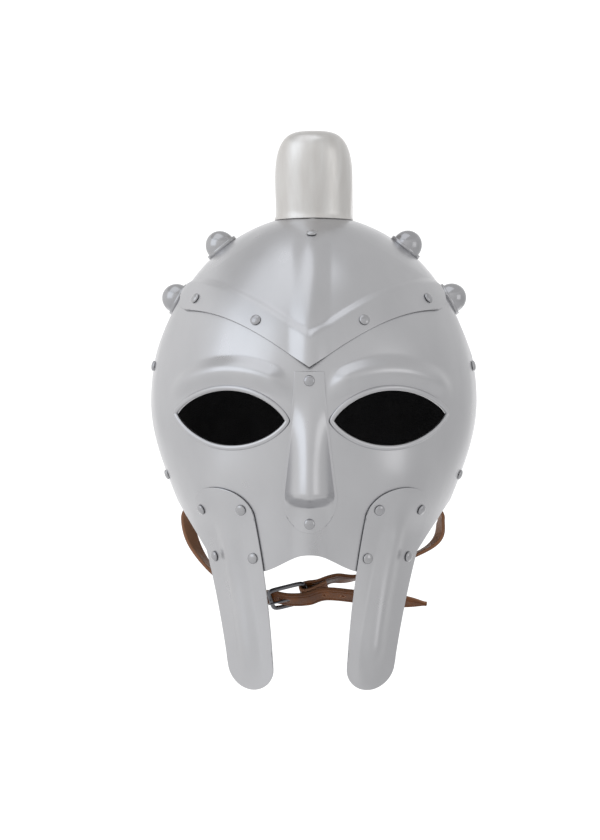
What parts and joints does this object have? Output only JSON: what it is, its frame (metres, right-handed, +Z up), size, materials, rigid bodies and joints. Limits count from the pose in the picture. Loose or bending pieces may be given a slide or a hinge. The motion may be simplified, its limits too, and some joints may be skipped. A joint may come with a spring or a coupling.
{
  "type": "gladiator helmet",
  "caption": "Domed steel gladiator helmet with a riveted face plate, forehead plate, nose guard, long cheek guards, crest box, leather lining and buckled chin strap.",
  "frame": {"origin": "crown of the lining inside the bowl, where the helmet sits on the top of a head", "axes": "+Z up, the face looks towards -Y, +X towards the wearer's left"},
  "size_m": [0.2262, 0.2694, 0.3798],
  "materials": {
    "polished_steel": "satin polished sheet steel, rivets and bosses",
    "brushed_steel": "brushed sheet steel, duller than the plates",
    "black_leather": "black, matt",
    "brown_leather": "brown, waxed, lighter on its edges and inner face",
    "dark_steel": "dark, polished"
  },
  "bodies": {
    "root": {"boss_left_1": "polished_steel", "boss_left_2": "polished_steel", "boss_right_1": "polished_steel", "boss_right_2": "polished_steel", "buckle_frame": "dark_steel", "buckle_prong": "dark_steel", "cheek_guard_left": "polished_steel", "cheek_guard_right": "polished_steel", "crest": "brushed_steel", "face_plate": "polished_steel", "frontlet": "polished_steel", "lining": "black_leather", "nose_guard": "polished_steel", "rivet_brow_left_1": "polished_steel", "rivet_brow_left_2": "polished_steel", "rivet_brow_right_1": "polished_steel", "rivet_brow_right_2": "polished_steel", "rivet_brow_top": "polished_steel", "rivet_cheek_left_1": "polished_steel", "rivet_cheek_left_2": "polished_steel", "rivet_cheek_left_3": "polished_steel", "rivet_cheek_left_4": "polished_steel", "rivet_cheek_right_1": "polished_steel", "rivet_cheek_right_2": "polished_steel", "rivet_cheek_right_3": "polished_steel", "rivet_cheek_right_4": "polished_steel", "rivet_nose_tip": "polished_steel", "rivet_nose_top": "polished_steel", "rivet_strap_left": "polished_steel", "rivet_strap_right": "polished_steel", "rivet_temple_left_1": "polished_steel", "rivet_temple_left_2": "polished_steel", "rivet_temple_right_1": "polished_steel", "rivet_temple_right_2": "polished_steel", "skull": "polished_steel", "strap_buckle": "brown_leather", "strap_tip": "brown_leather"}
  },
  "joints": []
}
